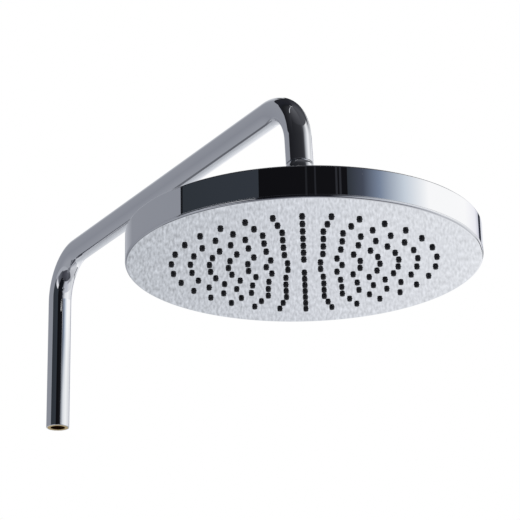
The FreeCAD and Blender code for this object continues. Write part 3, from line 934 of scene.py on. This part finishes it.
# What the chrome mirrors: a later panel hangs a little nearer, and so lies over the earlier ones
PANELS = (
    # Ground, from straight below to just under the horizon
    Panel("ground", (-180.0, 180.0), (-89.0, -78.0), ("#74767E", "#74767E")),
    Panel("ground_near", (-56.0, 40.0), (-78.0, -44.0), ("#4A4B54", "#5A5C66"), ("#3C3D46", "#34353C")),
    Panel(
        "ground_near_right", (40.0, 104.0), (-78.0, -44.0), ("#5C5E66", "#5C5E66"),
        ("#4C4E56", "#46484F"),
    ),
    Panel("ground_low_right", (104.0, 160.0), (-78.0, -22.0), ("#B4B6BC", "#CCCED3")),
    Panel("ground_low_end", (160.0, 180.0), (-78.0, -34.0), ("#CCCED3", "#B0B3BB")),
    Panel("ground_low_far", (-180.0, -165.0), (-78.0, -40.0), ("#A8ABB3", "#6A6C74")),
    Panel("ground_grey_low", (-165.0, -78.0), (-78.0, -40.0), ("#989BA3", "#989BA3")),
    Panel("ground_dark", (-165.0, -130.0), (-74.0, -42.0), ("#3C3E44", "#4A4C54")),
    Panel("ground_pale", (-80.0, -56.0), (-78.0, -2.0), ("#A2A5AD", "#A8ABB3")),
    Panel(
        "ground_left_low", (-62.0, -28.0), (-45.0, -15.0), ("#44464E", "#3C3E46"),
        ("#6C6E76", "#5A5C64"),
    ),
    Panel("ground_left_edge", (-66.0, -56.0), (-15.0, -2.0), ("#70727C", "#D0D2DA")),
    Panel("ground_left", (-56.0, -38.0), (-15.0, -2.0), ("#D0D2DA", "#ECEDF0")),
    Panel("ground_left_end", (-38.0, -18.0), (-15.0, -2.0), ("#ECEDF0", "#3A3C44")),
    Panel("ground_front", (-28.0, 18.0), (-44.0, -2.0), ("#101116", "#15161C")),
    Panel("ground_front_right", (18.0, 34.0), (-44.0, -2.0), ("#30323A", "#A6A9B2")),
    Panel("ground_side", (34.0, 64.0), (-44.0, -2.0), ("#ACAFB8", "#BCBFC8")),
    Panel("ground_side_low", (64.0, 104.0), (-44.0, -30.0), ("#B0B2BA", "#8E9098")),
    Panel("ground_side_pale", (64.0, 104.0), (-30.0, -2.0), ("#BCBFC8", "#DCDEE2")),
    Panel("ground_side_end", (104.0, 160.0), (-22.0, -2.0), ("#D2D4D8", "#E4E6E9")),
    Panel("ground_edge", (138.0, 160.0), (-20.0, -11.0), ("#5A5C64", "#5A5C64")),
    Panel(
        "ground_right", (160.0, 180.0), (-34.0, -6.0), ("#FDFEFF", "#D6D9DF"), ("#F8F9FC", "#D2D5DB"),
        rough=(0.12, 0.5),
    ),
    Panel(
        "ground_far", (-180.0, -172.0), (-40.0, -6.0), ("#D6D9DF", "#C0C4CA"), ("#D2D5DB", "#BCC0C6"),
        rough=(0.5, 0.75),
    ),
    Panel(
        "ground_far_left", (-172.0, -157.0), (-40.0, -6.0), ("#C0C4CA", "#AEB1B8"), ("#BCC0C6", "#A4A7AF"),
        rough=(0.75, 0.75),
    ),
    Panel("ground_back", (-157.0, -143.0), (-42.0, -6.0), ("#5A5C63", "#5A5C63"), ("#85888F", "#85888F")),
    Panel("ground_grey", (-143.0, -80.0), (-42.0, -14.0), ("#989BA3", "#989BA3"), ("#8C8F98", "#8C8F98")),
    Panel(
        "ground_grey_top", (-143.0, -80.0), (-14.0, -2.0), ("#8C8F98", "#8C8F98"),
        ("#888B94", "#888B94"),
    ),
    # Skirting where the walls stand on the ground
    Panel("skirting_right", (160.0, 180.0), (-6.0, -2.0), ("#F8F9FC", "#D2D5DB"), ("#E6E8EC", "#D2D5DB")),
    Panel("skirting_far", (-180.0, -143.0), (-6.0, -2.0), ("#D2D5DB", "#888B94"), ("#D2D5DB", "#888B94")),
    # Back wall, and the wall on the right, which fades from dark to white
    Panel("wall_back_end", (-180.0, -160.0), (-2.0, 62.0), ("#D2D5DB", "#A7AAB3"), ("#F4F5F7", "#C4C7CD")),
    Panel("wall_back_turn", (-160.0, -142.0), (-2.0, 60.0), ("#A7AAB3", "#8A8D96"), ("#C4C7CD", "#9EA1A8")),
    Panel("wall_back", (-142.0, -60.0), (-2.0, 58.0), ("#8A8D96", "#8A8D96"), ("#94979F", "#94979F")),
    Panel("wall_fade_dark", (28.0, 38.0), (-2.0, 27.0), ("#31363C", "#464C5A")),
    Panel("wall_fade_blue", (38.0, 49.0), (-2.0, 27.0), ("#464C5A", "#7A879C")),
    Panel("wall_fade_pale", (49.0, 67.0), (-2.0, 27.0), ("#7A879C", "#CCD5DF")),
    Panel("wall_fade_white", (67.0, 86.0), (-2.0, 27.0), ("#CCD5DF", "#FFFFFF")),
    Panel("wall_tint", (124.0, 142.5), (-2.0, 27.0), ("#FFFFFF", "#F0F0F6")),
    Panel("wall_tint_end", (142.5, 150.0), (-2.0, 27.0), ("#EDEDF4", "#C8CAD6")),
    Panel("wall_edge", (150.0, 157.4), (-2.0, 27.0), ("#2A2D38", "#2A2D38")),
    Panel("wall_end", (157.4, 180.0), (-2.0, 27.0), ("#E0E2EA", "#EEEFF4")),
    # Lower stretch of that fade, and the band that leads to the upper one
    Panel("low_fade_dark", (20.0, 31.0), (-2.0, 18.0), ("#1C1D21", "#565A63")),
    Panel("low_fade", (31.0, 43.0), (-2.0, 18.0), ("#565A63", "#AFB3BA")),
    Panel("low_fade_pale", (43.0, 57.0), (-2.0, 18.0), ("#AFB3BA", "#E0E3E7")),
    Panel("low_fade_white", (57.0, 88.0), (-2.0, 18.0), ("#E0E3E7", "#F6F7F8")),
    Panel("low_right", (88.0, 140.0), (-2.0, 18.0), ("#F6F7F8", "#D6D8DC")),
    Panel("cross_fade_dark", (20.0, 31.0), (18.0, 20.4), ("#1C1D21", "#565A63"), ("#121215", "#2A2D33")),
    Panel("cross_fade", (31.0, 43.0), (18.0, 20.4), ("#565A63", "#AFB3BA"), ("#2A2D33", "#5C6678")),
    Panel("cross_fade_pale", (43.0, 57.0), (18.0, 20.4), ("#AFB3BA", "#E0E3E7"), ("#5C6678", "#A4AFBE")),
    Panel("cross_fade_white", (57.0, 88.0), (18.0, 20.4), ("#E0E3E7", "#F6F7F8"), ("#A4AFBE", "#FFFFFF")),
    Panel("cross_right", (88.0, 140.0), (18.0, 20.4), ("#F6F7F8", "#D6D8DC"), ("#FFFFFF", "#FFFFFF")),
    # Dark walls on the left and in front, with thin paler lines
    Panel("wall_left", (-80.2, -10.0), (-2.0, 26.0), ("#30353B", "#343941"), reach=2.3),
    Panel("wall_left_edge", (-80.2, -78.4), (-2.0, 26.0), ("#1A1B1F", "#1A1B1F"), reach=2.3),
    Panel("wall_front", (-26.0, 20.0), (-2.0, 26.0), ("#101013", "#121215"), reach=2.2),
    Panel("wall_front_right", (20.0, 28.0), (20.4, 26.0), ("#121215", "#121215")),
    Panel("wall_line_left", (2.0, 3.2), (-2.0, 26.0), ("#222327", "#222327"), reach=2.1),
    Panel("wall_line", (7.4, 8.4), (-2.0, 26.0), ("#26272C", "#26272C"), reach=2.1),
    Panel("wall_line_near", (20.6, 21.9), (20.4, 26.0), ("#2D2E33", "#2D2E33")),
    Panel("wall_line_right", (23.0, 24.3), (20.4, 26.0), ("#2D2E33", "#2D2E33")),
    # Upper walls
    Panel("high_near", (-84.0, -47.0), (25.5, 28.5), ("#1C1D20", "#222327")),
    Panel("high_left", (-95.0, -47.0), (28.0, 89.0), ("#1A1B1E", "#222327"), ("#1E1F22", "#4A4B50")),
    Panel("high_front", (-47.0, 28.5), (25.5, 48.0), ("#222327", "#2C2D31"), ("#26272B", "#36373B")),
    Panel("high_fade_dark", (28.5, 47.0), (27.0, 48.0), ("#2C2D31", "#3A3B40"), ("#36373B", "#46474C")),
    Panel("high_upper", (-47.0, 47.0), (48.0, 89.0), ("#26272B", "#46474C"), ("#606166", "#606166")),
    Panel("high_fade", (47.0, 64.0), (27.0, 46.0), ("#3A3B40", "#BEC1C6"), ("#46474C", "#85878C")),
    Panel("high_fade_pale", (64.0, 90.0), (27.0, 46.0), ("#BEC1C6", "#FAFBFD"), ("#85878C", "#F0F1F3")),
    Panel("high_white", (90.0, 118.0), (27.0, 46.0), ("#FAFBFD", "#D4D6D9"), ("#F0F1F3", "#A8AAAE")),
    Panel("high_end", (118.0, 165.0), (27.0, 39.0), ("#D4D6D9", "#E4E5E8"), ("#9A9CA0", "#B0B2B6")),
    # Ceiling, with the edge of a lamp
    Panel("ceiling_right", (47.0, 110.0), (46.0, 89.0), ("#48494E", "#525358")),
    Panel("ceiling_side", (110.0, 165.0), (46.0, 89.0), ("#525358", "#33343A")),
    Panel("ceiling_side_low", (118.0, 165.0), (39.0, 46.0), ("#4A4B50", "#33343A")),
    Panel("ceiling_far", (165.0, 180.0), (27.0, 89.0), ("#33343A", "#26272C")),
    Panel("ceiling_end", (-180.0, -160.0), (50.0, 89.0), ("#26272C", "#26272C")),
    Panel("ceiling_back", (-160.0, -108.0), (58.7, 89.0), ("#26272C", "#22242A"), slope=-9.2),
    Panel("ceiling_back_left", (-108.0, -95.0), (49.5, 89.0), ("#22242A", "#1C1D21"), slope=-13.0),
    Panel("ceiling_lamp", (-58.5, -53.5), (60.0, 84.0), ("#C9CBD0", "#C9CBD0")),
    Panel("ceiling_lamp_end", (-100.0, -53.5), (83.5, 86.5), ("#9A9CA0", "#9A9CA0")),
)


@dataclass
class Studio:
    """Pale floor, soft light, panels that the chrome mirrors, and the camera."""

    camera_place: tuple[float, float, float] = (1803.76 * MM, -850.93 * MM, -559.05 * MM)
    camera_turn: tuple[float, float, float] = (110.46, 1.013, 59.016)
    lens: float = 137.6
    sensor: float = 36.0
    floor_height: float = -0.62
    floor_radius: float = 6.0
    floor_rows: int = 25
    floor_columns: int = 96
    floor_grain: float = 40.0 * MM
    floor_layers: float = 3.0
    floor_gloss: float = 0.85
    floor_tones: tuple[str, str] = ("#E9E9EC", "#E2E2E6")
    panels: tuple[Panel, ...] = PANELS
    panel_rows: int = 33
    panel_step: float = 0.002
    lamp_place: tuple[float, float, float] = (1.2, -1.4, 2.2)
    lamp_size: float = 1.8
    lamp_power: float = 45.0
    soft_light: float = 0.75

    def camera(self) -> None:
        """Sets the camera where the photograph was taken from."""
        data = bpy.data.cameras.new("camera")
        data.lens, data.sensor_width = self.lens, self.sensor
        made = bpy.data.objects.new("camera", data)
        made.location = self.camera_place
        made.rotation_euler = [math.radians(angle) for angle in self.camera_turn]
        bpy.context.scene.collection.objects.link(made)
        bpy.context.scene.camera = made

    def world(self) -> None:
        """White where camera and mirror rays end, and a plain soft light for the rest."""
        world = bpy.data.worlds.new("studio")
        tree = cleared_tree(world)
        path = add_node(tree, "ShaderNodeLightPath").outputs
        seen = add_node(
            tree, "ShaderNodeMath", {"operation": "ADD"},
            {0: path["Is Camera Ray"], 1: path["Is Glossy Ray"]},
        )
        white = add_node(
            tree, "ShaderNodeMath", {"operation": "ADD", "use_clamp": True},
            {0: seen.outputs[0], 1: path["Is Transmission Ray"]},
        )
        plain = linear("#FFFFFF")
        soft, back = (
            add_node(tree, "ShaderNodeBackground", {"Color": plain, "Strength": level}).outputs[0]
            for level in (self.soft_light, 1.0)
        )
        mixed = add_node(tree, "ShaderNodeMixShader", None, {0: white.outputs[0], 1: soft, 2: back})
        add_node(tree, "ShaderNodeOutputWorld", None, {"Surface": mixed.outputs[0]})
        bpy.context.scene.world = world

    def floor(self, middle: np.ndarray) -> None:
        """Lays the pale floor, which hides nothing from below; mirrors see the panels in its place.

        Args:
            middle: The point that the floor lies under.
        """
        radius = np.linspace(self.floor_radius, 0.0, self.floor_rows)
        rows = np.stack([radius, np.zeros(self.floor_rows)], axis=1)
        place = (middle[0], middle[1], self.floor_height)
        piece = make_piece("studio_floor", turned(rows, place, self.floor_columns, closed=False))
        made = bpy.data.materials.new("sprayed_pale_floor")
        tree = cleared_tree(made)
        where = add_node(tree, "ShaderNodeTexCoord").outputs["Object"]
        grain = add_node(
            tree, "ShaderNodeTexNoise", {"Scale": 1.0 / self.floor_grain, "Detail": self.floor_layers},
            {"Vector": where},
        )
        pale, shade = (linear(code) for code in self.floor_tones)
        tone = add_node(
            tree, "ShaderNodeMix", {"data_type": "RGBA", 6: pale, 7: shade}, {0: grain.outputs["Fac"]}
        )
        paint = add_node(
            tree, "ShaderNodeBsdfPrincipled", {"Roughness": self.floor_gloss},
            {"Base Color": tone.outputs[2]},
        )
        under = add_node(tree, "ShaderNodeNewGeometry").outputs["Backfacing"]
        clear = add_node(tree, "ShaderNodeBsdfTransparent")
        mixed = add_node(
            tree, "ShaderNodeMixShader", None, {0: under, 1: paint.outputs[0], 2: clear.outputs[0]}
        )
        add_node(tree, "ShaderNodeOutputMaterial", None, {"Surface": mixed.outputs[0]})
        piece.visible_glossy = False
        piece.data.materials.append(made)

    def plaster(self, name: str) -> bpy.types.Material:
        """A panel's painted plaster, which shines in the panel's tone and swings with the lumps.

        Args:
            name: The material's name.

        Returns:
            The material.
        """
        made = bpy.data.materials.new(name)
        tree = cleared_tree(made)
        tone, lay = (
            add_node(tree, "ShaderNodeAttribute", {"attribute_name": kept}).outputs
            for kept in ("tone", "lay")
        )
        lumps = add_node(
            tree, "ShaderNodeTexNoise", {"Scale": 1.0, "Detail": LUMP_LAYERS}, {"Vector": lay["Vector"]}
        )
        swing = add_node(
            tree, "ShaderNodeMapRange", {"To Min": -1.0, "To Max": 1.0}, {"Value": lumps.outputs["Fac"]}
        )
        level = add_node(
            tree, "ShaderNodeMath", {"operation": "MULTIPLY_ADD", 2: 1.0},
            {0: swing.outputs["Result"], 1: tone["Alpha"]},
        )
        shine = add_node(
            tree, "ShaderNodeEmission", None, {"Color": tone["Color"], "Strength": level.outputs[0]}
        )
        add_node(tree, "ShaderNodeOutputMaterial", None, {"Surface": shine.outputs[0]})
        return made

    def panel(self, panel: Panel, middle: np.ndarray) -> None:
        """Hangs one panel: part of a wide sphere about the object, between its angles.

        A point is the middle plus the sphere's radius along the direction of the two angles. The
        tone goes evenly from corner to corner, with the plaster's swing in its alpha, and the lay
        is the way along the panel counted in lumps.

        Args:
            panel: Its angles and tones.
            middle: The point that the panel goes round.
        """
        toward = math.atan2(self.camera_place[1] - middle[1], self.camera_place[0] - middle[0])
        share = np.linspace(0.0, 1.0, self.panel_rows)
        across, up = np.meshgrid(share, share)
        azimuth = toward + np.radians(panel.across[0] + across * (panel.across[1] - panel.across[0]))
        foot_height = panel.up[0] + panel.slope * across
        height = np.radians(foot_height + up * (panel.up[1] - foot_height))
        level = np.cos(height)
        way = np.stack([np.cos(azimuth) * level, np.sin(azimuth) * level, np.sin(height)], axis=-1)
        reach = panel.reach * (1.0 - self.panel_step * self.panels.index(panel))
        mesh = bpy.data.meshes.new(panel.name)
        faces = grid_faces(len(share), len(share), close_columns=False)
        mesh.from_pydata((middle + reach * way).reshape(-1, 3).tolist(), [], faces.tolist())

        foot = np.array([linear(code) for code in panel.foot])
        top = np.array([linear(code) for code in panel.top or panel.foot])
        foot[:, 3] = top[:, 3] = panel.rough
        first, last = ((1.0 - up[..., None]) * foot[k] + up[..., None] * top[k] for k in (0, 1))
        tone = (1.0 - across[..., None]) * first + across[..., None] * last
        mesh.attributes.new("tone", "FLOAT_COLOR", "POINT").data.foreach_set("color", tone.ravel())
        lumps = [azimuth * reach / LUMP[0], height * reach / LUMP[1], np.zeros_like(height)]
        lay = np.stack(lumps, axis=-1)
        mesh.attributes.new("lay", "FLOAT_VECTOR", "POINT").data.foreach_set("vector", lay.ravel())

        mesh.materials.append(self.plaster(panel.name + "_plaster"))
        piece = bpy.data.objects.new(panel.name, mesh)
        piece.visible_camera = piece.visible_diffuse = piece.visible_shadow = False
        bpy.context.scene.collection.objects.link(piece)

    def lamp(self, middle: np.ndarray) -> None:
        """Hangs one wide soft lamp that mirrors don't show.

        Args:
            middle: The point that the lamp looks at.
        """
        data = bpy.data.lights.new("soft_lamp", "AREA")
        data.shape, data.size, data.energy = "DISK", self.lamp_size, self.lamp_power
        made = bpy.data.objects.new("soft_lamp", data)
        made.location = self.lamp_place
        away = made.location - Vector(middle.tolist())
        made.rotation_euler = away.to_track_quat("Z", "Y").to_euler()
        made.visible_glossy = False
        bpy.context.scene.collection.objects.link(made)

    def build(self, middle: np.ndarray) -> None:
        """Sets up the whole studio.

        Args:
            middle: The point that panels and floor go round.
        """
        bpy.context.scene.view_settings.view_transform = "Standard"
        self.camera()
        self.world()
        self.floor(middle)
        for panel in self.panels:
            self.panel(panel, middle)
        self.lamp(middle)
        LOG.info("studio: floor, %d panels, lamp and camera", len(self.panels))


def main() -> None:
    """Builds the studio and the part's assemblies in order."""
    logging.basicConfig(level=logging.INFO, format="%(message)s")
    head = RainHead()
    Studio().build(head.centre)
    for assembly in (ColumnTube(), BallJoint(), head):
        assembly.build()


if __name__ == "__main__":
    main()
